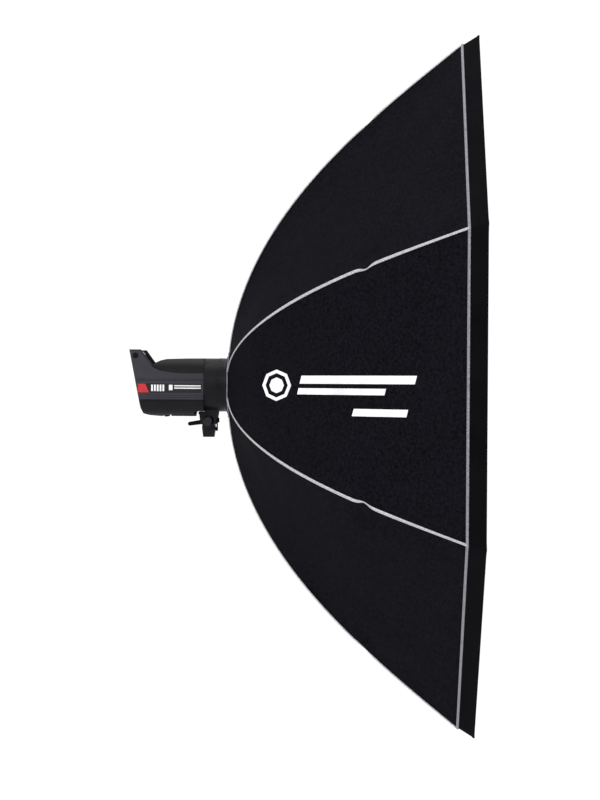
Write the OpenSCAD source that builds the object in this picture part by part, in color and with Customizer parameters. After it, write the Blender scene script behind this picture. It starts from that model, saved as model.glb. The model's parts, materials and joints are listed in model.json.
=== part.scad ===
// An octagonal soft box of the 1.75 m class on a monolight flash head.
// Millimetres. The light shines along +X and +Z is up. The origin is the centre
// of the mouth of the stand socket under the head.

/* [Soft box] */
// Radius from the light's axis to a rib at the piped front seam
seam_r = 854; // [500:1:1000]
// Radius of the canopy's rear opening at its corners
mouth_r = 80; // [80:1:95]
// Angle of a rib from the radial direction at its root
root_lean = 6; // [0:1:12]
// Angle that a rib bends through from root to tip
rib_sweep = 45; // [30:1:60]
// Thickness of the canopy's fabric and lining
skin = 2; // [1:0.5:3]
// Depth of the front lip beyond the piped seam, along the axis
lip_depth = 38; // [20:1:60]
// How far the lip flares outwards
lip_flare = 24; // [0:1:40]
// Radius of a rib's rod
rod_r = 3.5; // [2.5:0.5:4]
// Angle that the ribs fold through
fold_angle = 52; // [40:1:52]

/* [Head] */
// Height of the light's axis above the mouth of the stand socket
axis_h = 130; // [128:1:134]
// Distance of the barrel's datum ahead of the stand's axis
head_x = 3; // [0:1:6]
// Radius of the head's front barrel
barrel_r = 66; // [66:0.5:70]
// Width of the housing between its side panels
housing_w = 120; // [110:1:124]
// Height of the housing
housing_h = 146; // [140:1:150]
// Distance from the barrel's datum back to the top of the handle
handle_back = 195; // [190:1:205]
// Thickness of the moulded walls
wall = 3; // [2:0.5:4]

/* [Tilt mount] */
// Height of the tilt pivot above the mouth of the stand socket
pivot_h = 40.4; // [39:0.1:42]
// Radius of the stand socket, for a 5/8 inch spigot
socket_r = 8.1; // [8.05:0.05:8.3]
// Depth of the stand socket
socket_depth = 31; // [25:1:31]

/* [Hidden] */
$fn = 72;
RIBS = 8;
half_step = 180 / RIBS;
fit = 0.05;

// Stations along the light's axis, from the barrel's datum
barrel_back = -12;
barrel_front = 22;
collar_x = [22.5, 31];
adapter_x = [31.5, 42.5];
ring_x = [43, 66];
box_x = 50;

// Sideways sizes of the tilt mount
receiver_half = 13;
cheek_y = [15, 22];
lever_y = [22.4, 34];
bolt_r = 6;

// A rib's centre line is a run of tangent arcs whose bend fades from root to tip
ARCS = 5;
function lean(s) = root_lean + rib_sweep * (1 - pow(1 - s, 2));
function arc_turn(k) = lean((k + 1) / ARCS) - lean(k / ARCS);
function arc_span(k) = 2 * sin(arc_turn(k) / 2) * cos((lean(k / ARCS) + lean((k + 1) / ARCS)) / 2);
function arc_radius(k, length) = length / (arc_turn(k) * PI / 180);
function total(list, k = 0) = k == len(list) ? 0 : list[k] + total(list, k + 1);
arc_length = (seam_r - mouth_r)
    / total([for (k = [0 : ARCS - 1]) arc_span(k) / (arc_turn(k) * PI / 180)]);

// Point [radius, along axis] at the share f of arc k, for a curve that starts at p0
// and lies the given distance inside the canopy
function inward(a) = [-sin(a), cos(a)];
function arc_end(k, p0, inset) = k < 0 ? p0
    : arc_point(k, 1, arc_end(k - 1, p0, inset), inset);
function arc_point(k, f, start, inset) = start
    + (arc_radius(k, arc_length) - inset)
    * (inward(lean(k / ARCS)) - inward(lean(k / ARCS) + f * arc_turn(k)));

// The canopy's outer line along a rib, with the lip's edge as its last point
STEPS = 3;
canopy_start = [mouth_r, 0];
seam_point = arc_end(ARCS - 1, canopy_start, 0);
lip_lean = atan2(lip_depth, lip_flare);
canopy_line = concat(
    [for (k = [0 : ARCS - 1], j = [0 : STEPS - 1])
        arc_point(k, j / STEPS, arc_end(k - 1, canopy_start, 0), 0)],
    [seam_point, seam_point + [lip_flare, lip_depth]]
);
canopy_lean = concat(
    [for (k = [0 : ARCS - 1], j = [0 : STEPS - 1]) lean(k / ARCS) + j / STEPS * arc_turn(k)],
    [lean(1), lip_lean]
);

// Rib hinges on the speed ring
rod_inset = 10.5;
pin_point = [84, rod_inset];
pin_r = 2.5;
lug_r = 6.3;
lug_y = [5.2, 9.2];
rib_root_r = 6;
tip_point = arc_end(ARCS - 1, pin_point, rod_inset);
ferrule_at = arc_end(2, pin_point, rod_inset);

// The diffuser's plane, just ahead of the rib ends
diffuser_z = seam_point[1] + 14;
diffuser_r = seam_r + lip_flare * 14 / lip_depth - 6;
gore_gap = 0.5;
corner_pin_in = 6;

// The inner baffle hangs where the ribs are two thirds out
baffle_at = arc_point(3, 0.3, arc_end(2, pin_point, rod_inset), rod_inset);
baffle_r = 0.74 * baffle_at[0];

// Rear control panel, set back in the housing, and the horns that carry the handle
panel_lean = 11;
panel_at = [-168, 0, -6];
horn_y = 52;
vent_half = 26;

// Frames: at the head's datum, along the light's axis, in the plane of rib i, and
// on the control panel
module in_head() translate([head_x, 0, axis_h]) children();
module on_axis(x = 0) in_head() translate([x, 0, 0]) rotate([0, 90, 0]) children();
module at_rib(i) rotate([0, 0, half_step * (2 * i - 1)]) children();
module rib_plane(i) on_axis(box_x) at_rib(i) rotate([90, 0, 0]) children();
module on_panel(up = 0, side = 0)
    translate(panel_at) rotate([0, -(90 + panel_lean), 0]) translate([up, side, 0]) children();
module along_y(y0, y1) translate([0, y1, 0]) rotate([90, 0, 0]) linear_extrude(y1 - y0) children();
module along_side(side, near, far)
    along_y(min(side * near, side * far), max(side * near, side * far)) children();
module pin_y(p, y0, y1, r) translate([p[0], y1, p[1]]) rotate([90, 0, 0]) cylinder(h = y1 - y0, r = r);

module tube(h, outer, inner) {
    difference() {
        cylinder(h = h, r = outer);
        translate([0, 0, -1]) cylinder(h = h + 2, r = inner);
    }
}

module rounded(w, h, r) {
    square([w, h - 2 * r], center = true);
    square([w - 2 * r, h], center = true);
    for (x = [-1, 1], y = [-1, 1]) translate([x * (w / 2 - r), y * (h / 2 - r)]) circle(r);
}

// ---- Tilt mount ----

module stand_receiver() {
    color("#26262a") difference() {
        union() {
            pin_y([0, pivot_h], -receiver_half, receiver_half, 13.2);
            along_y(-receiver_half, receiver_half)
                polygon([[-13.4, 0], [13.4, 0], [16.6, 24], [13.2, pivot_h], [-13.2, pivot_h], [-16.6, 24]]);
        }
        translate([0, 0, -1]) cylinder(h = socket_depth + 1, r = socket_r);
        pin_y([0, pivot_h], -20, 20, bolt_r + fit);
        stand_screw_axis() cylinder(h = 30, r = 3 + fit);
    }
}

module stand_screw_axis() translate([0, 0, 20]) rotate([0, 90, 0]) children();

module stand_screw() {
    color("#1c1c1f") {
        stand_screw_axis() {
            translate([0, 0, 8.6]) cylinder(h = 10, r = 3);
            translate([0, 0, 17.2]) cylinder(h = 5, r = 5);
        }
        translate([19, -2.2, 20]) cube([3.2, 4.4, 20]);
        translate([19, -5, 36]) cube([6.6, 10, 12]);
    }
}

module tilt_yoke() {
    top = axis_h - barrel_r + 4;
    color("#2a292e") difference() {
        union() {
            for (side = [-1, 1])
                along_side(side, cheek_y[0], cheek_y[1]) hull() {
                    polygon([[-24.5, top], [24.5, top], [20, pivot_h - 3], [-20, pivot_h - 3]]);
                    translate([0, pivot_h - 2]) circle(r = 17);
                }
            translate([-24.5, -cheek_y[1], pivot_h + 16.5]) cube([34.5, 2 * cheek_y[1], 8]);
        }
        on_axis(-60) cylinder(h = 100, r = barrel_r + 0.02);
        pin_y([0, pivot_h], -30, 30, bolt_r + 0.01);
        translate([-60, -40, axis_h - barrel_r - 0.8]) cube([60 + head_x + barrel_back + 0.2, 80, 20]);
    }
}

module pivot_bolt() {
    color("#3a3a40") {
        pin_y([0, pivot_h], -cheek_y[1], lever_y[1] + 1, bolt_r);
        translate([0, -cheek_y[1], pivot_h]) rotate([90, 0, 0]) {
            cylinder(h = 4, r = 13.2);
            translate([0, 0, 4]) cylinder(h = 2.5, r1 = 13.2, r2 = 9.5);
        }
        pin_y([0, pivot_h], lever_y[1] + 0.3, lever_y[1] + 3, 9);
    }
}

module friction_washers() {
    color("#8a8a90") for (side = [-1, 1])
        along_side(side, receiver_half + 0.05, cheek_y[0] - 0.05) translate([0, pivot_h]) difference() {
            circle(r = 13);
            circle(r = bolt_r + fit);
        }
}

module tilt_lever() {
    color("#1c1c1f") difference() {
        union() {
            pin_y([0, pivot_h], lever_y[0], lever_y[1], 12);
            hull() {
                pin_y([-8, pivot_h - 2], lever_y[0] + 2, lever_y[1] - 1, 6, $fn = 32);
                pin_y([-51, pivot_h - 8.5], lever_y[0] + 4, lever_y[1] - 2, 5, $fn = 32);
            }
        }
        pin_y([0, pivot_h], 0, 60, bolt_r + fit);
    }
}

// ---- Head ----

screw_elevation = 55;

module screw_spots() {
    for (side = [-1, 1], up = [-1, 1])
        on_axis(-5) rotate([0, 0, atan2(side * cos(screw_elevation), -up * sin(screw_elevation))])
            translate([barrel_r, 0, 0]) rotate([0, 90, 0]) children();
}

module barrel_shell() {
    color("#222127") difference() {
        union() {
            on_axis(barrel_back) tube(barrel_front - barrel_back, barrel_r, barrel_r - wall);
            on_axis(barrel_back) tube(wall, barrel_r, 46);
            on_axis(barrel_front - 5) tube(5, barrel_r, 56.05);
        }
        screw_spots() translate([0, 0, -1.2]) cylinder(h = 5, r = 3.4);
    }
}

// The housing's side view, and the same line one wall's thickness inside it
housing_line = [
    [barrel_back, -65.6], [-36, -65.6], [-38, -74], [-98, -75], [-120, -78.8], [-150, -76],
    [-163, -71.8], [-168.5, -58], [-172.5, -36], [-186.7, 36], [-150, 36], [-135, 53],
    [-121, 60], [-106, 63.6], [-60, 65.2], [barrel_back, 65.8]
];
cavity_line = [
    [barrel_back - wall, -62.6], [-38.5, -62.6], [-40.5, -71], [-98, -72], [-120, -75.8],
    [-149, -73], [-160.8, -69.4], [-165.6, -57], [-169.4, -35.5], [-182.8, 33], [-151.5, 33],
    [-137, 49.6], [-122.4, 57], [-106.6, 60.6], [-60, 62.2], [barrel_back - wall, 62.8]
];
handle_at = [-180.5, 71.3];

module housing_core(shrink) {
    intersection() {
        translate([-210, 0, -6.5]) rotate([90, 0, 90]) linear_extrude(210 + barrel_back)
            rounded(housing_w - 2 * shrink, housing_h - 2 * shrink, 45 - shrink);
        along_y(-100, 100) children();
    }
}

module housing() {
    color("#211f25") in_head() difference() {
        union() {
            housing_core(0) polygon(housing_line);
            for (side = [-1, 1]) along_side(side, horn_y, housing_w / 2 - 0.2)
                polygon([[-178, -8], [-196.6, 86.4], [-168.4, 86.4], [-139.6, 47], [-116, 36], [-116, 10]]);
        }
        difference() {
            housing_core(wall) polygon(cavity_line);
            on_panel() translate([-41, -47, -5]) cube([82, 94, 40]);
        }
        on_panel() translate([-38, -44, -40]) cube([76, 88, 80]);
        translate([barrel_back - 10, 0, 0]) rotate([0, 90, 0]) cylinder(h = 30, r = 46);
        translate([-96, -vent_half, -90]) cube([60, 2 * vent_half, 30]);
        for (side = [-1, 1]) along_side(side, 20, 80) translate(handle_at) circle(r = 7.3);
    }
}

function bezier(p, t) = pow(1 - t, 2) * p[0] + 2 * t * (1 - t) * p[1] + t * t * p[2];

module panel_outline() {
    sweep = [[-143, 48.6], [-130, 31], [-70, 28.2]];
    polygon(concat(
        [[-handle_back, 84.3], [-169.2, 84.3]],
        [for (t = [0 : 0.1 : 1]) bezier(sweep, t)],
        [[barrel_back, 27.8], [barrel_back, -36.7], [-171.8, -36.7]]
    ));
}

module side_panel(side) {
    y = [housing_w / 2, housing_w / 2 + 4];
    color("#45434d") in_head() difference() {
        along_side(side, y[0], y[1]) panel_outline();
        along_side(side, y[1] - 0.8, y[1] + 1)
            for (z = [-32.4, -26.8, 8.9, 12.8]) translate([-200, z]) square([200, 1.3]);
        along_side(side, 0, 80) translate(handle_at) circle(r = 7.3);
        if (side < 0) along_side(side, y[1] - 1, y[1] + 1) translate([-174.6, -20.2]) square([159, 22.6]);
    }
}

module left_panel() side_panel(-1);
module right_panel() side_panel(1);

module handle_bar() {
    color("#8c8c92") in_head() difference() {
        pin_y(handle_at, -horn_y, horn_y, 12);
        for (side = [-1, 1]) along_side(side, horn_y - 9, 80) translate(handle_at) circle(r = 3);
    }
}

module handle_caps() {
    color("#101012") in_head() for (side = [-1, 1]) {
        along_side(side, horn_y, housing_w / 2 + 4.4) translate(handle_at) circle(r = 7.25);
        along_side(side, horn_y - 8.9, horn_y) translate(handle_at) circle(r = 2.95);
    }
}

module base_vent() {
    color("#1a191d") in_head() {
        difference() {
            translate([-95.8, 0.2 - vent_half, -74.6]) cube([59.6, 2 * vent_half - 0.4, 3]);
            for (i = [0 : 8]) translate([-91.7 + 6.2 * i, 4 - vent_half, -80])
                cube([3, 2 * vent_half - 8, 20]);
        }
        for (i = [0 : 9]) translate([-94.8 + 6.2 * i, 2 - vent_half, -78.4])
            cube([2.4, 2 * vent_half - 4, 5]);
    }
}

module base_feet() {
    color("#0c0c0e") in_head() difference() {
        for (y = [-22, 22]) translate([-108, y, -79.8]) cylinder(h = 5, r = 4);
        along_y(-60, 60) polygon(housing_line);
    }
}

module housing_screws() {
    color("#0e0e10") screw_spots() translate([0, 0, -1.2]) difference() {
        cylinder(h = 1.8, r = 3.2);
        translate([0, 0, 0.9]) cylinder(h = 2, r = 1.5);
    }
}

// A red field, plain white bars and a pair of plain stripes, in the left panel's recess
module badge_plate() {
    y = housing_w / 2 + 4;
    color("#b8232f") in_head() along_y(-y, -y + 0.9)
        polygon([[-174, -19.6], [-174, 1.8], [-156, 1.8], [-146, -19.6]]);
    color("#e8e8ea") in_head() along_y(-y, -y + 0.9) {
        for (i = [0 : 4]) translate([-141 + 7 * i, -16.4]) square([4.4, 16]);
        for (z = [-10.2, -4.4]) translate([-84, z]) square([66, 3]);
        translate([-97, -14]) square([9, 13.4]);
    }
}

module rear_panel() {
    color("#18181b") in_head() difference() {
        on_panel() translate([-37.8, -43.8, -4]) cube([75.6, 87.6, 4]);
        on_panel(16, 0) translate([-14.2, -24.2, -1.2]) cube([28.4, 48.4, 4]);
        on_panel(-14, 0) cylinder(h = 20, r = 4 + fit, center = true);
        on_panel(-26, 30) translate([-8, -10.7, -10]) cube([16, 21.4, 20]);
        on_panel(-26, -26) translate([-8.2, -13.2, -10]) cube([16.4, 26.4, 20]);
        on_panel(-32, 8) cylinder(h = 20, r = 3.5, center = true);
        for (i = [0 : 3]) button_at(i) cylinder(h = 20, r = 4 + fit, center = true);
    }
}

module display_window() {
    color("#0a2430") in_head() on_panel(16, 0) translate([-14, -24, -1.2]) cube([28, 48, 1.4]);
}

module mains_inlet() {
    color("#0e0e10") in_head() on_panel(-26, -26) difference() {
        translate([-8, -13, -16]) cube([16, 26, 17]);
        translate([-6, -11, -12]) cube([12, 22, 14]);
    }
    color("#c8c8cc") in_head() on_panel(-26, -26) for (side = [-1, 0, 1])
        translate([side == 0 ? 2 : -3.6, side * 7 - 1, -12]) cube([1.6, 2, 10]);
}

module sync_socket() {
    color("#b8b8bc") in_head() on_panel(-32, 8) translate([0, 0, -10]) difference() {
        cylinder(h = 11, r = 3.4);
        translate([0, 0, 2]) cylinder(h = 10, r = 1.8);
    }
}

module control_dial() {
    color("#2c2c31") in_head() on_panel(-14, 0) {
        translate([0, 0, -8]) cylinder(h = 9, r = 4);
        translate([0, 0, 0.4]) difference() {
            cylinder(h = 7, r = 10);
            for (a = [0 : 30 : 330]) rotate([0, 0, a]) translate([11, 0, 2]) cylinder(h = 9, r = 1.8);
        }
    }
}

module power_switch() {
    color("#8f1a1a") in_head() on_panel(-26, 30) intersection() {
        translate([-7, -10.5, -6]) cube([14, 21, 12]);
        rotate([90, 0, 0]) translate([0, -5.4, -10.5]) cylinder(h = 21, r = 8.6);
    }
}

module button_at(i) on_panel(24 - 16 * (i % 2), (i < 2 ? -1 : 1) * 35) children();

module button(i) {
    color("#55555c") in_head() button_at(i) translate([0, 0, -4]) cylinder(h = 6.5, r = 4);
}

module button_1() button(0);
module button_2() button(1);
module button_3() button(2);
module button_4() button(3);

module fan_frame() {
    color("#141416") on_axis(-134) difference() {
        translate([-40, -40, 0]) cube([80, 80, 20]);
        translate([0, 0, -1]) cylinder(h = 18, r = 37);
        for (a = [0 : 90 : 270]) rotate([0, 0, a + 45]) translate([14, -11, 10]) cube([20, 22, 20]);
        translate([0, 0, 10]) cylinder(h = 20, r = 2.5 + fit);
    }
}

module fan_rotor() {
    color("#2a2a2e") on_axis(-134) {
        translate([0, 0, 2]) cylinder(h = 13, r = 14);
        translate([0, 0, 14]) cylinder(h = 5, r = 2.5);
        for (a = [0 : 360 / 7 : 359]) rotate([0, 0, a]) translate([24, 0, 8.5])
            rotate([40, 0, 0]) cube([22, 1.6, 12], center = true);
    }
}

module capacitors() {
    color("#2b3f7a") in_head() for (y = [-19, 19], z = [-47, -9])
        translate([-108, y, z]) rotate([0, 90, 0]) cylinder(h = 66, r = 17.5);
}

module circuit_board() {
    color("#1f5a34") in_head() translate([-108, -48, 12]) cube([84, 96, 1.8]);
    color("#30303a") in_head() for (i = [0 : 2]) translate([-100 + 26 * i, -30, 13.9]) cube([16, 20, 12]);
    color("#b8860b") in_head() for (i = [0 : 2]) translate([-92 + 26 * i, 22, 13.9]) cylinder(h = 16, r = 8);
}

module lamp_plate() {
    color("#c9cacd") difference() {
        on_axis(24) {
            tube(2, 54, 13);
            translate([0, 0, -26]) tube(26, 56, 54);
        }
        for (side = [-1, 1]) on_axis(20) rotate([0, 0, side * 15]) translate([-36, 0, 0])
            cylinder(h = 10, r = 4.6);
    }
}

module flash_tube() {
    color("#f2e6cf") {
        on_axis(40) rotate_extrude() translate([36, 0]) circle(4.4);
        for (side = [-1, 1]) on_axis(20) rotate([0, 0, side * 15]) translate([-36, 0, 0])
            cylinder(h = 18.5, r = 3.6);
    }
}

module modelling_lamp() {
    color("#e8dcc0") on_axis(12) {
        cylinder(h = 22, r = 12.9);
        translate([0, 0, 22]) cylinder(h = 44, r = 9);
        translate([0, 0, 66]) sphere(9);
    }
}

module glass_dome() {
    color("#eef2f4") on_axis(26.2) difference() {
        union() {
            cylinder(h = 44, r = 50);
            translate([0, 0, 44]) sphere(50);
        }
        translate([0, 0, -1]) cylinder(h = 45, r = 47);
        translate([0, 0, 44]) sphere(47);
        translate([0, 0, -60]) cylinder(h = 60, r = 80);
    }
}

module lock_collar() {
    color("#1b1a1f") on_axis(collar_x[0]) difference() {
        cylinder(h = collar_x[1] - collar_x[0], r = barrel_r + 0.6);
        translate([0, 0, -1]) cylinder(h = 20, r = 59 + fit);
        for (a = [0 : 10 : 350]) rotate([0, 0, a]) translate([barrel_r + 1, 0, 2])
            cylinder(h = 5, r = 1.4, $fn = 16);
    }
}

// ---- Speed ring ----

module bayonet_adapter() {
    color("#2b2a30") {
        on_axis(barrel_front + 0.1) tube(ring_x[1] - barrel_front + 4.9, 59, 57);
        on_axis(adapter_x[0]) difference() {
            tube(adapter_x[1] - adapter_x[0], barrel_r + 0.6, 58.5);
            translate([0, 0, 4]) tube(2.5, barrel_r + 5, barrel_r - 2);
        }
        on_axis(adapter_x[1]) tube(ring_x[1] - adapter_x[1] + 1, 64, 58.5);
    }
}

module speed_ring() {
    color("#34333a") {
        on_axis(ring_x[0]) difference() {
            tube(ring_x[1] - ring_x[0], 71, 64 + fit);
            for (i = [1 : RIBS]) rotate([0, 0, 2 * half_step * i])
                translate([67.5, 0, ring_x[1] - ring_x[0] - 3]) cylinder(h = 4, r = 2.6);
        }
        for (i = [1 : RIBS]) rib_plane(i) difference() {
            for (side = [-1, 1])
                translate([0, 0, side > 0 ? lug_y[0] : -lug_y[1]])
                    linear_extrude(lug_y[1] - lug_y[0]) union() {
                        translate([69, pin_point[1] - lug_r]) square([15, 2 * lug_r]);
                        translate(pin_point) circle(lug_r);
                    }
            translate([pin_point[0], pin_point[1], -20]) cylinder(h = 40, r = pin_r + 0.01);
            translate([0, pin_point[1] - 20, -20]) cube([68, 40, 40]);
        }
    }
}

module retaining_ring() {
    color("#9a9aa0") on_axis(ring_x[1] + 1.05) tube(2, 68.5, 59 + fit);
}

module hinge_pins() {
    color("#a8a8ae") for (i = [1 : RIBS]) rib_plane(i)
        translate([pin_point[0], pin_point[1], -lug_y[1] - 0.8]) cylinder(h = 2 * lug_y[1] + 1.6, r = pin_r);
}

module ring_screws() {
    color("#8a8a90") on_axis(ring_x[1]) for (i = [1 : RIBS]) rotate([0, 0, 2 * half_step * i])
        translate([67.5, 0, -2.9]) cylinder(h = 2.9, r = 2.5);
}

// ---- Ribs and fabric ----

module rib(i) {
    color("#2e2e33") rib_plane(i) difference() {
        union() {
            translate([pin_point[0], pin_point[1], -5]) cylinder(h = 10, r = rib_root_r);
            translate(pin_point) rotate([0, 0, root_lean + 3]) rotate([0, 90, 0]) cylinder(h = 76, r = 4.9);
            rod();
            translate(ferrule_at) rotate([0, 0, lean(3 / ARCS)])
                translate([-25, 0, 0]) rotate([0, 90, 0]) cylinder(h = 50, r = rod_r + 0.5);
        }
        translate([pin_point[0], pin_point[1], -20]) cylinder(h = 40, r = pin_r + fit);
    }
}

// The rod: twelve-sided rings square to the rib's centre line, with a domed tip
module rod() {
    rings = concat(
        [for (k = [0 : ARCS - 1], j = [0 : STEPS - 1]) if (k + j > 0)
            [arc_point(k, j / STEPS, arc_end(k - 1, pin_point, rod_inset), rod_inset),
             lean(k / ARCS) + j / STEPS * arc_turn(k), rod_r]],
        [for (a = [0, 45, 75])
            [tip_point + sin(a) * rod_r * [cos(lean(1)), sin(lean(1))], lean(1), cos(a) * rod_r]]
    );
    sides = 12;
    points = [for (g = rings, a = [0 : 360 / sides : 359])
        [g[0][0] - sin(g[1]) * g[2] * cos(a), g[0][1] + cos(g[1]) * g[2] * cos(a), g[2] * sin(a)]];
    last = (len(rings) - 1) * sides;
    faces = concat(
        [[for (n = [0 : sides - 1]) n]],
        [[for (n = [sides - 1 : -1 : 0]) last + n]],
        [for (j = [0 : len(rings) - 2], n = [0 : sides - 1], half = [0, 1])
            let (a = j * sides + n, b = j * sides + (n + 1) % sides, c = b + sides, d = a + sides)
            half == 0 ? [a, d, c] : [a, c, b]]
    );
    polyhedron(points = points, faces = faces, convexity = 4);
}

// A skin around the axis: the outer line out, the inner line back, closed on itself
module canopy() {
    last = len(canopy_line) - 1;
    inner = [for (k = [0 : last]) canopy_line[k] + skin * inward(canopy_lean[k])];
    loop = concat(canopy_line, [for (k = [last : -1 : 0]) inner[k]]);
    rings = len(loop);
    points = [for (p = loop, i = [1 : RIBS])
        [p[0] * cos(half_step * (2 * i - 1)), p[0] * sin(half_step * (2 * i - 1)), p[1]]];
    faces = [for (j = [0 : rings - 1], i = [0 : RIBS - 1], half = [0, 1])
        let (a = j * RIBS + i, b = j * RIBS + (i + 1) % RIBS,
             c = ((j + 1) % rings) * RIBS + (i + 1) % RIBS, d = ((j + 1) % rings) * RIBS + i)
        half == 0 ? [a, b, c] : [a, c, d]];
    color("#17161b") on_axis(box_x) polyhedron(points = points, faces = faces, convexity = 6);
}

module octagon(r) circle(r = r, $fn = RIBS);

module inner_baffle() {
    color("#f4f4f2") on_axis(box_x + baffle_at[1]) rotate([0, 0, half_step])
        linear_extrude(2) octagon(baffle_r);
}

module baffle_straps() {
    color("#202024") on_axis(box_x + baffle_at[1]) for (i = [1 : RIBS]) at_rib(i)
        translate([baffle_r + 0.5, -10, 0]) cube([baffle_at[0] - baffle_r - 9, 20, 1.6]);
}

// One eighth of the front diffuser, from the centre out to the end of rib i, with the
// corner pin that it swings on
module diffuser(i) {
    edge = diffuser_r * cos(half_step);
    apex = gore_gap / 2 / sin(half_step);
    color("#f6f6f4") on_axis(box_x + diffuser_z) at_rib(i) {
        linear_extrude(2) intersection() {
            octagon(diffuser_r);
            polygon([[apex, 0], [apex + 2 * edge * cos(half_step), 2 * edge * sin(half_step)],
                     [apex + 2 * edge * cos(half_step), -2 * edge * sin(half_step)]]);
        }
        translate([diffuser_r - corner_pin_in, 0, 1]) rotate([90, 0, 0])
            cylinder(h = 16, r = 2, center = true);
    }
}

stand_receiver();
stand_screw();
tilt_yoke();
pivot_bolt();
friction_washers();
tilt_lever();
barrel_shell();
housing();
left_panel();
right_panel();
handle_bar();
handle_caps();
base_vent();
base_feet();
housing_screws();
badge_plate();
rear_panel();
display_window();
mains_inlet();
sync_socket();
control_dial();
power_switch();
button_1();
button_2();
button_3();
button_4();
fan_frame();
fan_rotor();
capacitors();
circuit_board();
lamp_plate();
flash_tube();
modelling_lamp();
glass_dome();
lock_collar();
bayonet_adapter();
speed_ring();
retaining_ring();
hinge_pins();
ring_screws();
canopy();
inner_baffle();
baffle_straps();
for (i = [1 : RIBS]) rib(i);
for (i = [1 : RIBS]) diffuser(i);
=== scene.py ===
import json
import math

import bpy
import numpy as np
from mathutils import Matrix, Vector, noise


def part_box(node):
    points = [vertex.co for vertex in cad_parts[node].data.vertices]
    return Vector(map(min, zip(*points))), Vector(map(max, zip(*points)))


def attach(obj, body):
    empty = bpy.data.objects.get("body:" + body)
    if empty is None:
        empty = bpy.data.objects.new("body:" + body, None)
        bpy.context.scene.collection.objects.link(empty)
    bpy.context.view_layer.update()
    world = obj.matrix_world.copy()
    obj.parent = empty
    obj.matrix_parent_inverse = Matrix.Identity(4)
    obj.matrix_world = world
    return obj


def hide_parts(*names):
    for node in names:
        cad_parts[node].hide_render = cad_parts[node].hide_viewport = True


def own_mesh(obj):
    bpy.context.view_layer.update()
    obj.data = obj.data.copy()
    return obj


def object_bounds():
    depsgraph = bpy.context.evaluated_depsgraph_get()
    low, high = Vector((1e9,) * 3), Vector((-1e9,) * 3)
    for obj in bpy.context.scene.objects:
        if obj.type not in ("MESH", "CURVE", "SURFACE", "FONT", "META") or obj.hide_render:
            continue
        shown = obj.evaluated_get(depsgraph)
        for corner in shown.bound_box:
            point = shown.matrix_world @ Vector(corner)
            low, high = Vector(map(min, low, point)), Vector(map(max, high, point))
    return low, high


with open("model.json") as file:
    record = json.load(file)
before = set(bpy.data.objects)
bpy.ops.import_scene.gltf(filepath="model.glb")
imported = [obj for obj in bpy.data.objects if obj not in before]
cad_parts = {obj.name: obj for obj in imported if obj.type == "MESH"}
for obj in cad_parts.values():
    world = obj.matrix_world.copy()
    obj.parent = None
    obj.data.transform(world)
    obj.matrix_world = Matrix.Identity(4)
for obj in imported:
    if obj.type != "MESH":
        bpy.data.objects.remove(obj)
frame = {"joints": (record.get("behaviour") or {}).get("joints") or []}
CAD_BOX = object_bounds()

# ---- Sizes, in metres, from the frame ----

RIBS = 8
HALF_STEP = math.pi / RIBS
CANOPY_LO, CANOPY_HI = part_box("canopy")
JOINTS = {j["name"]: j for j in frame["joints"]}
AXIS_Z = JOINTS["box_spin"]["pos_m"][2]
MOUTH_X = CANOPY_LO[0]
LIP_X = CANOPY_HI[0]
LIP_R = (CANOPY_HI[2] - AXIS_Z) / math.cos(HALF_STEP)
MOUTH_R = 0.080
SEAM_R = 0.854
SEAM_X = LIP_X - 0.038
ROOT_LEAN = math.radians(6)
RIB_SWEEP = math.radians(45)
RING_R = 0.071
SKIN = 0.0018
NOTCH_S = 0.71
PANEL_FACE_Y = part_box("right_panel")[1][1] - 0.0006
BADGE_SPLIT_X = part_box("badge_plate")[0][0] + 0.030

# ---- Shares of the cloth's width ----

# A share of its width for each piece: a gore has three bands, from the mouth to the lip, and the share is
# largest near the mouth.
GORE_KEEPS = (0.86, 0.62, 0.42)
BAFFLE_KEEP = 0.10


# ---- The canopy's shape ----

def lean(s):
    """Angle of a rib from the radial direction at the share s of its length."""
    return ROOT_LEAN + RIB_SWEEP * (1 - (1 - s) ** 2)


def rib_line(count=400):
    """Radius and station of points evenly spaced along a rib, from the mouth to the seam."""
    s = np.linspace(0, 1, count)
    middle = lean((s[1:] + s[:-1]) / 2)
    out = np.concatenate([[0], np.cumsum(np.cos(middle))])
    ahead = np.concatenate([[0], np.cumsum(np.sin(middle))])
    return s, MOUTH_R + (SEAM_R - MOUTH_R) * out / out[-1], MOUTH_X + (SEAM_X - MOUTH_X) * ahead / ahead[-1]


LINE_S, LINE_R, LINE_X = rib_line()
RIB_LENGTH = float(np.hypot(np.diff(LINE_R), np.diff(LINE_X)).sum())


def rib_frame(i):
    """The outward and sideways directions of rib i."""
    a = HALF_STEP * (2 * i - 1)
    return Vector((0, math.sin(a), -math.cos(a))), Vector((0, math.cos(a), math.sin(a)))


def panel_facing(i, w):
    """The outward direction, square to the axis, of the panel on the side w of rib i."""
    out, side = rib_frame(i)
    return (out * math.cos(HALF_STEP) + side * math.copysign(math.sin(HALF_STEP), w)).normalized()


def smooth(x):
    """A gentle step from 0 to 1 as x goes from 0 to 1."""
    x = min(max(x, 0.0), 1.0)
    return x * x * (3 - 2 * x)


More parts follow.
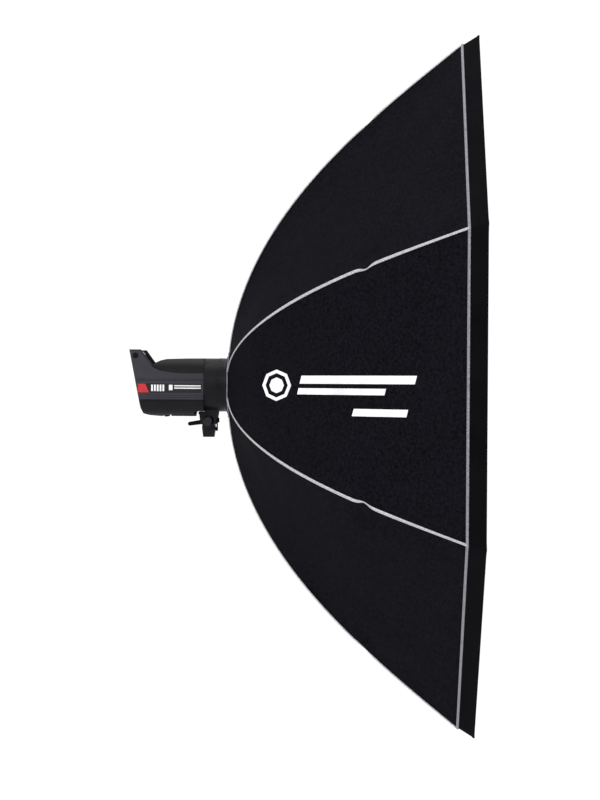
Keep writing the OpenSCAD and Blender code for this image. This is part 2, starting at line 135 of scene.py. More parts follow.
def fabric_offset(s, w, at):
    """How far the cloth stands out from the flat chord between two ribs."""
    across = abs(w)
    sag = -0.011 * math.sin(math.pi * min(s, 1.0) ** 0.9) * (1 - (1 - across) ** 2)
    pinch = -0.0014 * math.exp(-((s - NOTCH_S) / 0.018) ** 2) * math.exp(-(across / 0.10) ** 2)
    fold = -0.0070 * math.exp(-((s - NOTCH_S) / 0.035) ** 2) * math.exp(-((across - 0.16) / 0.09) ** 2)
    calm = smooth(s / 0.12) * smooth((1.0 - s) / 0.05)
    slow = noise.noise(at * 5.0) * 0.0030 + noise.noise(at * 13.0 + Vector((7, 3, 1))) * 0.0012
    near_rib = math.exp(-(across / 0.22) ** 2)
    gather = noise.noise(Vector((s * 46.0, at.y * 2.5, at.z * 2.5))) * 0.0016 * near_rib
    near_rim = smooth((s - 0.86) / 0.12)
    angle = math.atan2(at.y, AXIS_Z - at.z)
    pucker = math.sin(angle * 96 + 3 * noise.noise(at * 6)) * 0.0009 * near_rim * smooth((1 - s) / 0.02)
    keep_crease = smooth(across / 0.05)
    return sag + pinch + fold + (slow * calm + pucker + gather * calm) * keep_crease


def skin_point(i, s, w, inset=0.0):
    """A point of the canopy's skin: the share s along rib i, and w from -1 to 1 across its gore."""
    out, side = rib_frame(i)
    r = float(np.interp(s, LINE_S, LINE_R))
    x = float(np.interp(s, LINE_S, LINE_X))
    if s > 1:
        r = SEAM_R + (s - 1) * (LIP_R - SEAM_R)
        x = SEAM_X + (s - 1) * (LIP_X - SEAM_X)
    a = lean(s) if s <= 1 else math.atan2(LIP_X - SEAM_X, LIP_R - SEAM_R)
    across = abs(w)
    flat = out * (r * (1 - across * math.sin(HALF_STEP) ** 2))
    flat += side * (w * r * math.cos(HALF_STEP) * math.sin(HALF_STEP))
    point = Vector((x, 0, AXIS_Z)) + flat
    facing = panel_facing(i, w)
    if across < 0.04:
        facing = out.lerp(facing, smooth(across / 0.04)).normalized()
    normal = Vector((-math.cos(a), 0, 0)) + facing * math.sin(a)
    if s <= 1:
        point += normal * fabric_offset(s, w, point)
    else:
        point -= normal * (0.0014 * math.exp(-(across / 0.03) ** 2) * smooth((s - 1) * 8))
    return point - normal * inset


# ---- Mesh helpers ----

def make_object(name, points, faces, materials, slots=None, uvs=None, shade=True):
    """A mesh object in the scene, with a material slot for each face and a UV for each point."""
    mesh = bpy.data.meshes.new(name)
    mesh.from_pydata([tuple(p) for p in points], [], faces)
    for m in materials:
        mesh.materials.append(m)
    if slots is not None:
        mesh.polygons.foreach_set("material_index", slots)
    if uvs is not None:
        layer = mesh.uv_layers.new(name="UVMap")
        for loop in mesh.loops:
            layer.data[loop.index].uv = uvs[loop.vertex_index]
    if shade:
        mesh.polygons.foreach_set("use_smooth", [True] * len(mesh.polygons))
    mesh.update()
    obj = bpy.data.objects.new(name, mesh)
    bpy.context.scene.collection.objects.link(obj)
    return obj


def grid_faces(rows, columns, start=0, flip=False):
    """The four-sided faces of a grid of points whose first point has the index start."""
    faces = []
    for j in range(rows - 1):
        for k in range(columns - 1):
            a = start + j * columns + k
            quad = (a, a + 1, a + columns + 1, a + columns)
            faces.append(quad[::-1] if flip else quad)
    return faces


def sheet_mesh(name, outer, inner, rows, columns, materials, uvs, lip_from=None):
    """A closed thin sheet from an outer and an inner grid of points; rows past lip_from are the lip.

    The materials are the outer face's, the inner face's and the lip's.
    """
    lip_from = rows + 1 if lip_from is None else lip_from
    count = rows * columns
    faces = grid_faces(rows, columns, 0, True)
    slots = [2 if j >= lip_from else 0 for j in range(rows - 1) for _ in range(columns - 1)]
    faces += grid_faces(rows, columns, count)
    slots += [2 if j >= lip_from else 1 for j in range(rows - 1) for _ in range(columns - 1)]
    rim = [k for k in range(columns)]
    rim += [j * columns + columns - 1 for j in range(1, rows)]
    rim += [(rows - 1) * columns + k for k in range(columns - 2, -1, -1)]
    rim += [j * columns for j in range(rows - 2, 0, -1)]
    for a, b in zip(rim, rim[1:] + rim[:1]):
        faces.append((a, b, count + b, count + a))
        slots.append(2 if lip_from < rows and min(a, b) >= lip_from * columns else 0)
    sheet = make_object(name, outer + inner, faces, materials, slots, uvs * 2)
    on_rim = set(rim)
    for edge in sheet.data.edges:
        ends = [v % count for v in edge.vertices]
        edge.use_edge_sharp = ends[0] in on_rim and ends[1] in on_rim and abs(
            edge.vertices[0] - edge.vertices[1]) < count
    return sheet


def ribbon(name, centre, sideways, normal, widths, height, material):
    """A folded tape along a line of points: a low dome with a stitched groove down its middle."""
    section = [(-0.5, -0.4), (-0.48, 0.35), (-0.30, 0.85), (-0.12, 0.95), (0.0, 0.68),
               (0.12, 0.95), (0.30, 0.85), (0.48, 0.35), (0.5, -0.4)]
    points, faces, uvs = [], [], []
    length = 0.0
    for k, p in enumerate(centre):
        length += (p - centre[k - 1]).length if k else 0.0
        for across, up in section:
            points.append(p + sideways[k] * (across * widths[k]) + normal[k] * (up * height))
            uvs.append((across * widths[k], length))
    n = len(section)
    for k in range(len(centre) - 1):
        for j in range(n):
            a, b = k * n + j, k * n + (j + 1) % n
            faces.append((a, a + n, b + n, b))
    faces.append(tuple(range(n)))
    faces.append(tuple((len(centre) - 1) * n + j for j in reversed(range(n))))
    return make_object(name, points, faces, [material], None, uvs)


# ---- Materials ----

class Shader:
    """A principled material with a few short ways to add procedural detail."""

    def __init__(self, name, color, roughness, metallic=0.0, **inputs):
        self.material = bpy.data.materials.new(name)
        self.material.use_nodes = True
        self.nodes = self.material.node_tree.nodes
        self.links = self.material.node_tree.links
        self.bsdf = self.nodes["Principled BSDF"]
        self.bsdf.inputs["Base Color"].default_value = (*color[:3], 1)
        self.bsdf.inputs["Roughness"].default_value = roughness
        self.bsdf.inputs["Metallic"].default_value = metallic
        for key, value in inputs.items():
            self.bsdf.inputs[key.replace("_", " ")].default_value = value
        self.color = color
        self.roughness = roughness

    def add(self, kind, **inputs):
        node = self.nodes.new(kind)
        for key, value in inputs.items():
            socket = node.inputs[key.replace("_", " ")]
            if isinstance(value, bpy.types.NodeSocket):
                self.links.new(value, socket)
            else:
                socket.default_value = value
        return node

    def coordinates(self, scale=(1, 1, 1), kind="Object"):
        place = self.add("ShaderNodeTexCoord")
        return self.add("ShaderNodeMapping", Vector=place.outputs[kind], Scale=scale).outputs["Vector"]

    def noise(self, scale, detail=4.0, vector=None, roughness=0.55):
        inputs = {"Vector": vector or self.coordinates(), "Scale": scale}
        return self.add("ShaderNodeTexNoise", Detail=detail, Roughness=roughness, **inputs)

    def ramp(self, value, low, high, start=0.0, end=1.0):
        ramp = self.add("ShaderNodeValToRGB", Fac=value)
        ramp.color_ramp.elements[0].position = start
        ramp.color_ramp.elements[0].color = (*low, 1) if len(low) == 3 else low
        ramp.color_ramp.elements[1].position = end
        ramp.color_ramp.elements[1].color = (*high, 1) if len(high) == 3 else high
        return ramp.outputs["Color"]

    def span(self, value, low, high):
        out = self.add("ShaderNodeMapRange", Value=value, To_Min=low, To_Max=high)
        return out.outputs["Result"]

    def math(self, operation, a, b=None):
        node = self.nodes.new("ShaderNodeMath")
        node.operation = operation
        for socket, value in zip(node.inputs, (a, b)):
            if isinstance(value, bpy.types.NodeSocket):
                self.links.new(value, socket)
            elif value is not None:
                socket.default_value = value
        return node.outputs[0]

    def weave(self, pitch):
        """Crossed threads on the UV grid."""
        uv = self.add("ShaderNodeUVMap")
        split = self.add("ShaderNodeSeparateXYZ", Vector=uv.outputs["UV"])
        turns = 2 * math.pi / pitch
        warp = self.math("SINE", self.math("MULTIPLY", split.outputs["X"], turns))
        weft = self.math("SINE", self.math("MULTIPLY", split.outputs["Y"], turns))
        return self.math("MULTIPLY", warp, weft)

    def tint(self, value, spread=0.25):
        """The colour varies by the spread either side of its own value."""
        low = tuple(c * (1 - spread) for c in self.color[:3])
        high = tuple(min(1.0, c * (1 + spread)) for c in self.color[:3])
        self.links.new(self.ramp(value, low, high, 0.3, 0.7), self.bsdf.inputs["Base Color"])

    def vary_roughness(self, value, spread=0.08):
        out = self.span(value, self.roughness - spread, self.roughness + spread)
        self.links.new(out, self.bsdf.inputs["Roughness"])

    def bump(self, height, distance, strength=1.0, after=None):
        node = self.add("ShaderNodeBump", Height=height, Distance=distance, Strength=strength)
        if after is not None:
            self.links.new(after, node.inputs["Normal"])
        self.links.new(node.outputs["Normal"], self.bsdf.inputs["Normal"])
        return node.outputs["Normal"]


def moulded(name, color, roughness, grain=1500.0, depth=0.00006, gloss=0.18):
    """Moulded plastic or powder coat: a fine spark texture, with slow changes of gloss and tone."""
    s = Shader(name, color, roughness, Specular_IOR_Level=gloss)
    slow = s.noise(28.0, 3.0)
    s.tint(slow.outputs["Fac"], 0.14)
    s.vary_roughness(s.noise(90.0, 3.0).outputs["Fac"], 0.07)
    s.bump(s.noise(grain, 2.0).outputs["Fac"], depth)
    return s.material


def split_by_place(s, axis, limit, low, high, absolute=False):
    """Colours the surface low below the limit along an axis of the object and high above it."""
    place = s.add("ShaderNodeTexCoord")
    split = s.add("ShaderNodeSeparateXYZ", Vector=place.outputs["Object"])
    value = split.outputs[axis]
    if absolute:
        value = s.math("ABSOLUTE", value)
    step = s.math("GREATER_THAN", value, limit)
    mix = s.nodes.new("ShaderNodeMix")
    mix.data_type = "RGBA"
    s.links.new(step, mix.inputs["Factor"])
    for socket, source in ((mix.inputs[6], low), (mix.inputs[7], high)):
        s.links.new(source, socket)
    s.links.new(mix.outputs[2], s.bsdf.inputs["Base Color"])


def panel_material():
    """Dark grey satin side panels, with their edges and inner faces black."""
    s = Shader("panel_grey", (0.029, 0.028, 0.036), 0.52, Specular_IOR_Level=0.25)
    slow = s.noise(28.0, 3.0).outputs["Fac"]
    edge = s.ramp(slow, (0.0052, 0.0050, 0.0062), (0.0072, 0.0070, 0.0086), 0.3, 0.7)
    face = s.ramp(slow, (0.0215, 0.0205, 0.0290), (0.0270, 0.0258, 0.0355), 0.3, 0.7)
    split_by_place(s, "Y", PANEL_FACE_Y, edge, face, absolute=True)
    s.vary_roughness(s.noise(90.0, 3.0).outputs["Fac"], 0.07)
    s.bump(s.noise(1500.0, 2.0).outputs["Fac"], 0.00006)
    return s.material


def badge_material():
    """The label: a red field behind, plain white marks ahead of it."""
    s = Shader("badge_red_white", (0.50, 0.02, 0.03), 0.32, Specular_IOR_Level=0.3)
    slow = s.noise(60.0, 3.0).outputs["Fac"]
    red = s.ramp(slow, (0.42, 0.016, 0.022), (0.52, 0.024, 0.032), 0.3, 0.7)
    white = s.ramp(slow, (0.72, 0.72, 0.74), (0.82, 0.82, 0.84), 0.3, 0.7)
    split_by_place(s, "X", BADGE_SPLIT_X, red, white)
    s.vary_roughness(s.noise(90.0, 3.0).outputs["Fac"], 0.06)
    s.bump(s.noise(900.0, 2.0).outputs["Fac"], 0.00002)
    return s.material


def metal(name, color, roughness, brushed=(1, 1, 1), grain=400.0):
    """Metal with fine streaks, drawn out along an axis where brushed says so."""
    s = Shader(name, color, roughness, 1.0)
    streaks = s.noise(grain, 3.0, s.coordinates(brushed))
    s.tint(streaks.outputs["Fac"], 0.10)
    s.vary_roughness(streaks.outputs["Fac"], 0.09)
    s.bump(streaks.outputs["Fac"], 0.00003)
    return s.material


def cloth(name, color, roughness, pitch, depth, speckle=0.9, spread=0.9):
    """Plain-woven cloth: crossed threads on the UV grid and a mottled tone, with hardly any shine."""
    s = Shader(name, color, roughness, Specular_IOR_Level=0.012)
    weave = s.weave(pitch)
    mottle = s.noise(150.0, 5.0, roughness=0.75)
    slow = s.noise(9.0, 4.0)
    fine = s.math("MULTIPLY", mottle.outputs["Fac"], speckle)
    broad = s.math("MULTIPLY", slow.outputs["Fac"], 1 - speckle)
    tone = s.math("ADD", fine, broad)
    s.tint(tone, spread)
    s.vary_roughness(mottle.outputs["Fac"])
    first = s.bump(s.math("ADD", weave, 1.0), depth)
    s.bump(mottle.outputs["Fac"], depth * 4, 0.5, first)
    return s.material


def piping(name, color):
    """Corded tape: fine cross ribs and a stitched line down the middle."""
    s = Shader(name, color, 0.6, Specular_IOR_Level=0.2)
    uv = s.add("ShaderNodeUVMap")
    split = s.add("ShaderNodeSeparateXYZ", Vector=uv.outputs["UV"])
    ribs = s.math("SINE", s.math("MULTIPLY", split.outputs["Y"], 2 * math.pi / 0.0011))
    stitch = s.math("SINE", s.math("MULTIPLY", split.outputs["Y"], 2 * math.pi / 0.0075))
    middle = s.math("SUBTRACT", 1.0, s.math("MULTIPLY", s.math("ABSOLUTE", split.outputs["X"]), 1500.0))
    thread = s.math("MULTIPLY", s.math("MAXIMUM", middle, 0.0), s.math("GREATER_THAN", stitch, -0.3))
    tone = s.math("SUBTRACT", s.noise(300.0, 4.0).outputs["Fac"], s.math("MULTIPLY", thread, 0.55))
    s.tint(tone, 0.35)
    s.bump(s.math("ADD", ribs, s.math("MULTIPLY", thread, 2.5)), 0.00012)
    return s.material


def lining_material():
    """Silver lining: a pebbled metallic film on cloth."""
    s = Shader("lining_silver", (0.66, 0.66, 0.68), 0.34, 0.85)
    cells = s.add("ShaderNodeTexVoronoi", Vector=s.coordinates(), Scale=260.0)
    s.tint(s.noise(14.0).outputs["Fac"], 0.12)
    s.vary_roughness(s.noise(120.0).outputs["Fac"], 0.1)
    s.bump(cells.outputs["Distance"], 0.0009, 0.8)
    return s.material


def diffusing_material(name, color):
    """White woven cloth that lets a little light through."""
    s = Shader(name, color, 0.8, Sheen_Weight=0.15, Transmission_Weight=0.12)
    s.tint(s.noise(7.0).outputs["Fac"], 0.02)
    s.bump(s.weave(0.0012), 0.0001)
    return s.material


def glass(name, color, roughness, weight):
    """Glass with slight waviness and uneven polish."""
    s = Shader(name, color, roughness, Transmission_Weight=weight, IOR=1.47)
    s.bump(s.noise(500.0, 3.0).outputs["Fac"], 0.00005)
    s.vary_roughness(s.noise(60.0).outputs["Fac"], min(0.05, roughness))
    return s.material


MATERIALS = {
    "canopy": cloth("canopy_black", (0.0058, 0.0054, 0.0077), 0.8, 0.0011, 0.00010),
    "lip": cloth("lip_black", (0.0036, 0.0035, 0.0044), 0.7, 0.0008, 0.00006, 0.3, 0.3),
    "strap": cloth("strap_black", (0.010, 0.010, 0.011), 0.8, 0.0016, 0.00025),
    "lining": lining_material(),
    "rib_tape": piping("rib_tape_grey", (0.50, 0.50, 0.515)),
    "rim_tape": piping("rim_tape_grey", (0.25, 0.245, 0.275)),
    "diffuser": diffusing_material("diffuser_white", (0.84, 0.84, 0.825)),
    "baffle": diffusing_material("baffle_white", (0.80, 0.80, 0.785)),
    "print": moulded("print_white", (0.80, 0.80, 0.82), 0.42, 700.0, 0.00008),
    "housing": moulded("housing_black", (0.0052, 0.0050, 0.0064), 0.46, gloss=0.12),
    "panel": panel_material(),
    "knob": moulded("knob_black", (0.0035, 0.0035, 0.0042), 0.5, 1100.0, gloss=0.08),
    "vent": moulded("vent_black", (0.006, 0.0058, 0.0066), 0.55, gloss=0.12),
    "collar": moulded("collar_black", (0.0050, 0.0048, 0.0062), 0.40, gloss=0.12),
    "mount": moulded("mount_black", (0.0070, 0.0066, 0.0082), 0.44, 800.0, 0.0001, 0.12),
    "button": moulded("button_grey", (0.085, 0.085, 0.095), 0.5),
    "badge": badge_material(),
    "switch": moulded("switch_red", (0.30, 0.012, 0.014), 0.25, 900.0, 0.00001),
    "display": moulded("display_dark", (0.008, 0.018, 0.026), 0.08, 300.0, 0.00001),
    "fan": moulded("fan_grey", (0.028, 0.028, 0.032), 0.5),
    "sleeve": moulded("sleeve_blue", (0.02, 0.05, 0.22), 0.28, 300.0, 0.00003),
    "board": moulded("board_green", (0.012, 0.10, 0.035), 0.35, 500.0, 0.00008),
    "bolt": metal("bolt_dark", (0.026, 0.025, 0.030), 0.38),
    "steel": metal("steel", (0.52, 0.52, 0.54), 0.3),
    "handle": metal("handle_satin", (0.36, 0.36, 0.375), 0.36, (1, 30, 1)),
    "ring": metal("ring_anodised", (0.016, 0.016, 0.019), 0.42, (1, 8, 8)),
    "lamp_metal": metal("lamp_metal", (0.72, 0.72, 0.74), 0.2),
    "rod": metal("rod_anodised", (0.030, 0.030, 0.034), 0.4, (1, 6, 6)),
    "screw": metal("screw_black", (0.012, 0.012, 0.014), 0.4),
    "dome": glass("dome_frosted", (0.95, 0.96, 0.97), 0.35, 0.85),
    "lamp": glass("lamp_halogen", (0.96, 0.93, 0.84), 0.06, 0.9),
    "flash": glass("flash_quartz", (0.97, 0.92, 0.78), 0.12, 0.8),
}


# ---- Camera, lights and floor ----

def make_camera():
    """The main view: from the side, a little off square, 4.6 m away."""
    yaw, roll = math.radians(-2.74), math.radians(0.40)
    distance = 4.613
    target = Vector((MOUTH_X + 0.174, 0, AXIS_Z))
    forward = Vector((math.sin(yaw), math.cos(yaw), 0))
    data = bpy.data.cameras.new("camera")
    data.sensor_width = 36.0
    data.lens = 83.2
    data.shift_y = -0.0182
    data.clip_end = 100.0
    camera = bpy.data.objects.new("camera", data)
    bpy.context.scene.collection.objects.link(camera)
    right = forward.cross(Vector((0, 0, 1)))
    up = right.cross(forward)
    turn = Matrix((right, up, -forward)).transposed().to_4x4() @ Matrix.Rotation(roll, 4, "Z")
    camera.matrix_world = Matrix.Translation(target - forward * distance) @ turn
    bpy.context.scene.camera = camera


def make_area(name, place, target, size, power):
    """A rectangular soft light at a place, turned to face a target."""
    data = bpy.data.lights.new(name, "AREA")
    data.shape = "RECTANGLE"
    data.size, data.size_y = size
    data.energy = power
    lamp = bpy.data.objects.new(name, data)
    bpy.context.scene.collection.objects.link(lamp)
    place = Vector(place)
    turn = (Vector(target) - place).to_track_quat("-Z", "Y")
    lamp.matrix_world = Matrix.Translation(place) @ turn.to_matrix().to_4x4()


def make_stage():
    """A pale floor well below the object, an even white world and three soft lights."""
    floor_z = CAD_BOX[0][2] - 1.2
    side = 40.0
    corners = [(x * side, y * side, floor_z) for x, y in ((-1, -1), (1, -1), (1, 1), (-1, 1))]
    paper = Shader("floor_paper", (0.97, 0.97, 0.97), 0.9, Specular_IOR_Level=0.1)
    paper.tint(paper.noise(3.0).outputs["Fac"], 0.01)
    floor = make_object("floor", corners, [(0, 1, 2, 3)], [paper.material], shade=False)
    world = bpy.data.worlds.new("world")
    world.use_nodes = True
    world.node_tree.nodes["Background"].inputs["Color"].default_value = (1, 1, 1, 1)
    world.node_tree.nodes["Background"].inputs["Strength"].default_value = 1.05
    bpy.context.scene.world = world
    bpy.context.scene.view_settings.view_transform = "Standard"
    make_area("key", (-1.6, -4.2, 2.2), (0.2, 0, 0.1), (2.2, 2.2), 60)
    make_area("fill", (2.6, -3.4, 1.6), (0.3, 0, 0.1), (2.0, 2.0), 25)
    make_area("overhead", (0.2, 0.4, 4.2), (0.2, 0, 0.1), (2.6, 2.6), 60)


# ---- Canopy ----

# The mark's ring stands at MARK_X along the axis; each bar runs from x0 to x1, and from z0 to z1 off the axis
MARK_X = 0.184
PRINT_BARS = [
    (0.240, 0.500, 0.004, 0.022),
    (0.240, 0.440, -0.020, -0.006),
    (0.380, 0.500, -0.066, -0.050),
]
UPPER_RIB = 6
LOWER_RIB = 7

# A gore's rows are shares of the rib's length up to the front seam, and then go on over the lip to 2
SEAM_ROW = 84
GORE_ROWS = [k / SEAM_ROW for k in range(SEAM_ROW + 1)] + [1.12, 1.3, 1.5, 1.7, 1.9, 2.0]
GORE_COLUMNS = [math.copysign(abs(k / 24) ** 1.15, k) for k in range(-24, 25)]
BAND_ROWS = [0, 17, 40, len(GORE_ROWS) - 1]


def band_at(share):
    """Which band of a gore, counted from the mouth, a share of the rib's length is in."""
    return sum(share * SEAM_ROW >= row for row in BAND_ROWS[1:-1])


def gore_band(i, band):
    """One band of the gore round rib i, and its flat width, length and area."""
    rows = GORE_ROWS[BAND_ROWS[band]:BAND_ROWS[band + 1] + 1]
    columns = len(GORE_COLUMNS)
    outer = [skin_point(i, s, w) for s in rows for w in GORE_COLUMNS]
    inner = [skin_point(i, s, w, SKIN) for s in rows for w in GORE_COLUMNS]
    side = rib_frame(i)[1]
    stations = [s * RIB_LENGTH for s in rows for _ in GORE_COLUMNS]
    uvs = [(p.dot(side), station) for p, station in zip(outer, stations)]
    materials = [MATERIALS["canopy"], MATERIALS["lining"], MATERIALS["lip"]]
    gore = sheet_mesh(f"canopy_gore_{i}_{band + 1}", outer, inner, len(rows), columns, materials, uvs,
                      SEAM_ROW - BAND_ROWS[band])
    middle = outer[columns // 2::columns]
    length = sum((b - a).length for a, b in zip(middle, middle[1:]))
    width = max((outer[k + columns - 1] - outer[k]).length for k in range(0, len(outer), columns))
    area = sum(face.area for face in gore.data.polygons[:(len(rows) - 1) * (columns - 1)])
    return gore, (width, length), area


def rib_tape(i):
    """The light tape over rib i's seam: slim at the mouth, nipped in and pulled aside at the notch."""
    count = 160
    shares = [k / count for k in range(count + 1)]
    side = rib_frame(i)[1]
    pull = -1 if i % 2 else 1
    widths, centre = [], []
    for s in shares:
        nip = math.exp(-((s - NOTCH_S - 0.004) / 0.016) ** 2)
        width = 0.0020 + 0.0050 * smooth(s / 0.5) - 0.0014 * smooth((s - 0.76) / 0.2)
        widths.append(width * (1 - 0.72 * nip))
        swerve = 0.0042 * math.exp(-((s - NOTCH_S) / 0.017) ** 2)
        r = float(np.interp(s, LINE_S, LINE_R))
        w = pull * swerve / (r * math.cos(HALF_STEP) * math.sin(HALF_STEP))
        centre.append(skin_point(i, s, w, -0.0004))
    normal = []
    for k in range(len(centre)):
        along = centre[min(k + 1, count)] - centre[max(k - 1, 0)]
        normal.append(along.cross(side).normalized())
        if normal[-1].x > 0:
            normal[-1].negate()
    sideways = [side] * len(centre)
    return ribbon(f"rib_tape_{i}", centre, sideways, normal, widths, 0.0022, MATERIALS["rib_tape"])


def rim_tape(i):
    """The grey tape along the front seam of gore i."""
    count = 32
    shares = [-1 + 2 * k / count for k in range(count + 1)]
    centre = [skin_point(i, 1.0, w) for w in shares]
    up, sideways = [], []
    for k, w in enumerate(shares):
        up.append((panel_facing(i, w) * 0.80 - Vector((0.6, 0, 0))).normalized())
        along = (centre[min(k + 1, count)] - centre[max(k - 1, 0)]).normalized()
        sideways.append(along.cross(up[-1]).normalized())
    widths = [0.0066] * len(centre)
    return ribbon(f"rim_tape_{i}", centre, sideways, up, widths, 0.0024, MATERIALS["rim_tape"])


def mouth_piping():
    """The thin light cord round the canopy's mouth."""
    half = 8
    centre, sideways, up = [], [], []
    for i in range(1, RIBS + 1):
        for k in range(-half, half):
            centre.append(skin_point(i, 0.006, k / half, -0.0020))
            up.append(Vector((-1, 0, 0)))
            sideways.append(panel_facing(i, k))
    for points in (centre, sideways, up):
        points.append(points[0])
    widths = [0.0024] * len(centre)
    cord = ribbon("mouth_piping", centre, sideways, up, widths, 0.0020, MATERIALS["rim_tape"])
    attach(cord, "soft_box")


def lip_hem(i):
    """The folded and stitched edge of the lip, in gore i."""
    count, around = 32, 10
    shares = [-1 + 2 * k / count for k in range(count + 1)]
    centre = [skin_point(i, 1.93, w, SKIN / 2) for w in shares]
    points, faces = [], []
    for k, w in enumerate(shares):
        face = panel_facing(i, w)
        ahead = (Vector((LIP_X - SEAM_X, 0, 0)) + face * (LIP_R - SEAM_R)).normalized()
        across = Vector((-ahead.dot(face), 0, 0)) + face * ahead.x
        for a in range(around):
            turn = 2 * math.pi * a / around
            ring = ahead * (0.0034 * math.cos(turn)) + across * (0.0021 * math.sin(turn))
            points.append(centre[k] + ring)
    for k in range(count):
        for a in range(around):
            p, q = k * around + a, k * around + (a + 1) % around
            faces.append((p, p + around, q + around, q))
    faces.append(tuple(range(around)))
    faces.append(tuple(count * around + a for a in reversed(range(around))))
    return make_object(f"lip_hem_{i}", points, faces, [MATERIALS["lip"]], None, [(0, 0)] * len(points))


def narrow(obj):
    """obj gets its own copy of its mesh."""
    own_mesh(obj)


def gather(obj, i, keep):
    """obj rides on rib i and gets its own copy of its mesh."""
    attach(obj, f"rib_{i}")
    narrow(obj)


def make_canopy():
    """The skin in its gores and bands, with the tapes, the hem and the mouth's cord."""
    mouth_piping()
    for i in range(1, RIBS + 1):
        tape, rim, hem = rib_tape(i), rim_tape(i), lip_hem(i)
        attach(tape, f"rib_{i}")
        for piece in (rim, hem):
            gather(piece, i, GORE_KEEPS[-1])
        for band, keep in enumerate(GORE_KEEPS):
            gore, flat, area = gore_band(i, band)
            gather(gore, i, keep)
            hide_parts("canopy")


# ---- The plain mark printed on the panel between ribs 6 and 7 ----

def print_point(x, z, lift):
    """The point of the side panel at a station along the axis and a height from it."""
    s = float(np.interp(x, LINE_X, LINE_S))
    r = float(np.interp(x, LINE_X, LINE_R))
    w = 1 - abs(z) / (r * math.sin(HALF_STEP))
    return skin_point(UPPER_RIB, s, w, -lift) if z >= 0 else skin_point(LOWER_RIB, s, -w, -lift)


def print_patch(name, corners):
    """A printed four-sided patch: its corners are (station, height), in order, on one side of the axis."""
    rows, columns = 7, 25
    grid = []
    for j in range(rows):
        for k in range(columns):
            u, v = k / (columns - 1), j / (rows - 1)
            low = [a + (b - a) * u for a, b in zip(corners[0], corners[1])]
            high = [a + (b - a) * u for a, b in zip(corners[3], corners[2])]
            grid.append([a + (b - a) * v for a, b in zip(low, high)])
    top = [print_point(x, z, 0.0009) for x, z in grid]
    base = [print_point(x, z, 0.0003) for x, z in grid]
    uvs = [tuple(p) for p in grid]
    return sheet_mesh(name, top, base, rows, columns, [MATERIALS["print"]] * 3, uvs)


def octagon_ring(x, radius, width):
    """The patches of an octagonal ring centred on the axis line."""
    angles = [2 * HALF_STEP * k for k in range(RIBS + 1)]
    radii = (radius - width, radius)
    inner, outer = [[(x + r * math.cos(a), r * math.sin(a)) for a in angles] for r in radii]
    return [(inner[k], outer[k], outer[k + 1], inner[k + 1]) for k in range(RIBS)]


def bar(x0, x1, z0, z1, slant=0.0):
    """The patches of a bar, split where it crosses the axis line."""
    cuts = [z0, 0.0, z1] if z0 < 0 < z1 else [z0, z1]
    return [((x0 + slant * a, a), (x1 + slant * a, a), (x1 + slant * b, b), (x0 + slant * b, b))
            for a, b in zip(cuts, cuts[1:])]


def make_print():
    """The mark: a ring round a disc, both octagons, and slanted bars."""
    patches = octagon_ring(MARK_X, 0.036, 0.008) + octagon_ring(MARK_X, 0.018, 0.0175)
    for x0, x1, z0, z1 in PRINT_BARS:
        patches += bar(x0, x1, z0, z1, 0.25)
    for k, patch in enumerate(patches):
        piece = print_patch(f"print_mark_{k + 1}", patch)
        share = float(np.interp(min(x for x, _ in patch), LINE_X, LINE_S))
        rib = UPPER_RIB if sum(z for _, z in patch) >= 0 else LOWER_RIB
        gather(piece, rib, GORE_KEEPS[band_at(share)])


# ---- Diffuser and baffle ----

def gore_cloth(name, i, radius, x, bulge, material, start=0.0):
    """One eighth of an octagonal sheet across the box, crowned a little towards the front."""
    out, side = rib_frame(i)
    rows, columns = 36, 21
    points, uvs = [], []
    for j in range(rows):
        share = start + (1 - start) * j / (rows - 1)
        for k in range(columns):
            w = -1 + 2 * k / (columns - 1)
            r = radius * max(share, 0.002)
            p = out * (r * (1 - abs(w) * math.sin(HALF_STEP) ** 2))
            p += side * (w * r * math.cos(HALF_STEP) * math.sin(HALF_STEP))
            crown = bulge * (1 - share ** 2)
            ripple = noise.noise(p * 7.0 + Vector((x, 0, 0))) * 0.0022 * (1 - share ** 6)
            edge = math.sin(math.atan2(p.y, p.z) * 80) * 0.0012 * smooth((share - 0.9) / 0.08)
            points.append(Vector((x + crown + ripple + edge * smooth((1 - share) / 0.02), 0, AXIS_Z)) + p)
            uvs.append((p.y, p.z))
    back = [p - Vector((0.0012, 0, 0)) for p in points]
    return sheet_mesh(name, points, back, rows, columns, [material] * 3, uvs)


def make_diffuser():
    """The front diffuser in its eight gores."""
    lo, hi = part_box("diffuser_1")
    radius = (AXIS_Z - lo[2]) / math.cos(HALF_STEP)
    front = hi[0] - 0.0008
    for i in range(1, RIBS + 1):
        piece = gore_cloth(f"diffuser_gore_{i}", i, radius, front, 0.004, MATERIALS["diffuser"])
        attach(piece, f"diffuser_{i}")
        narrow(piece)
        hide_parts(f"diffuser_{i}")


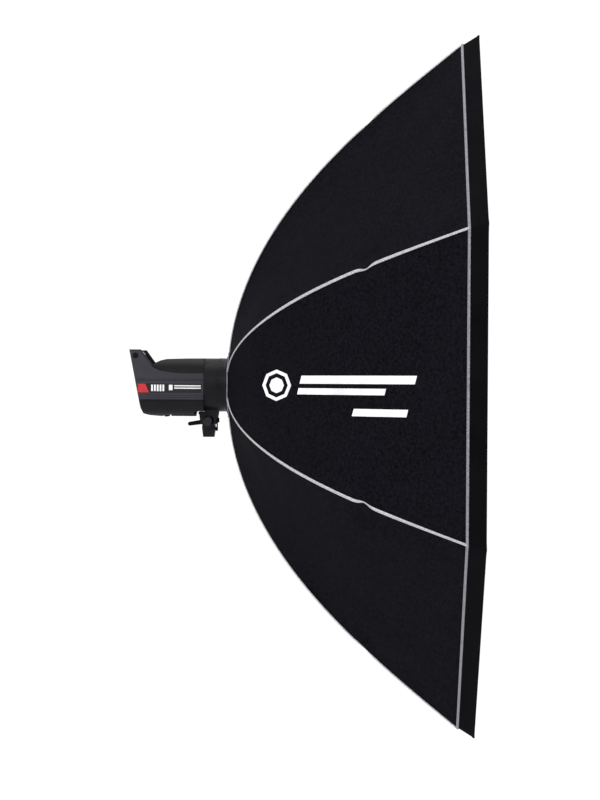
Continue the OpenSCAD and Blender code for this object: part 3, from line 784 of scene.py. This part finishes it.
def make_baffle():
    """The inner baffle in its eight gores, each tied to its rib by a strap."""
    lo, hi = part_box("inner_baffle")
    radius = (hi[2] - AXIS_Z) / math.cos(HALF_STEP)
    reach = (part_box("baffle_straps")[1][2] - AXIS_Z) / math.cos(HALF_STEP)
    start, tied = radius * 0.97, Vector((lo[0] + 0.001, 0, AXIS_Z))
    steps = 12
    count = steps + 1
    for i in range(1, RIBS + 1):
        piece = gore_cloth(f"baffle_gore_{i}", i, radius, lo[0], 0.006, MATERIALS["baffle"])
        out, side = rib_frame(i)
        centre = [tied + out * (start + (reach - start) * k / steps) for k in range(count)]
        ahead = [Vector((1, 0, 0))] * count
        strap = ribbon(f"baffle_strap_{i}", centre, [side] * count, ahead, [0.018] * count, 0.0012,
                       MATERIALS["strap"])
        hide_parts("inner_baffle")
        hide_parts("baffle_straps")
        gather(piece, i, BAFFLE_KEEP)
        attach(strap, f"rib_{i}")


def mouth_cuff():
    """The elastic cuff that closes the canopy's mouth on the speed ring."""
    rings, around = 9, 128
    points, faces, uvs = [], [], []
    for j in range(rings):
        t = j / (rings - 1)
        for k in range(around):
            a = 2 * math.pi * k / around
            sector = (a % (2 * HALF_STEP)) - HALF_STEP
            corner = MOUTH_R * math.cos(HALF_STEP) / math.cos(sector)
            pleat = 0.0008 * math.sin(a * 64) * math.sin(math.pi * t)
            r = (RING_R + 0.0012) * (1 - t) + (corner + 0.001) * t + pleat
            x = MOUTH_X - 0.0045 + 0.0055 * t ** 1.5
            points.append(Vector((x, r * math.sin(a), AXIS_Z - r * math.cos(a))))
            uvs.append((a * r, t * 0.01))
    for j in range(rings - 1):
        for k in range(around):
            a, b = j * around + k, j * around + (k + 1) % around
            faces.append((a, a + around, b + around, b))
    cuff = make_object("mouth_cuff", points, faces, [MATERIALS["strap"]], None, uvs)
    thick = cuff.modifiers.new("thick", "SOLIDIFY")
    thick.thickness = 0.0016
    thick.offset = 0
    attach(cuff, "soft_box")


# ---- CAD nodes that stay, with their finishes ----

FINISHES = {
    "mount": ["stand_receiver", "tilt_yoke"],
    "knob": ["stand_screw", "tilt_lever", "handle_caps", "mains_inlet", "control_dial", "base_feet"],
    "bolt": ["pivot_bolt"],
    "steel": ["friction_washers", "sync_socket", "retaining_ring", "hinge_pins", "ring_screws"],
    "housing": ["barrel_shell", "housing"],
    "panel": ["left_panel", "right_panel"],
    "handle": ["handle_bar"],
    "vent": ["base_vent", "rear_panel", "fan_frame"],
    "screw": ["housing_screws"],
    "badge": ["badge_plate"],
    "display": ["display_window"],
    "switch": ["power_switch"],
    "button": [f"button_{n}" for n in range(1, 5)],
    "fan": ["fan_rotor"],
    "sleeve": ["capacitors"],
    "board": ["circuit_board"],
    "lamp_metal": ["lamp_plate"],
    "flash": ["flash_tube"],
    "lamp": ["modelling_lamp"],
    "dome": ["glass_dome"],
    "collar": ["lock_collar"],
    "ring": ["bayonet_adapter", "speed_ring"],
    "rod": [f"rib_{n}" for n in range(1, RIBS + 1)],
}


def finish_nodes():
    """Every CAD node that is still shown gets its finish."""
    for name, nodes in FINISHES.items():
        for node in nodes:
            obj = bpy.data.objects[node]
            for slot in obj.material_slots:
                slot.material = MATERIALS[name]


make_camera()
make_stage()
make_canopy()
make_print()
make_diffuser()
make_baffle()
mouth_cuff()
finish_nodes()
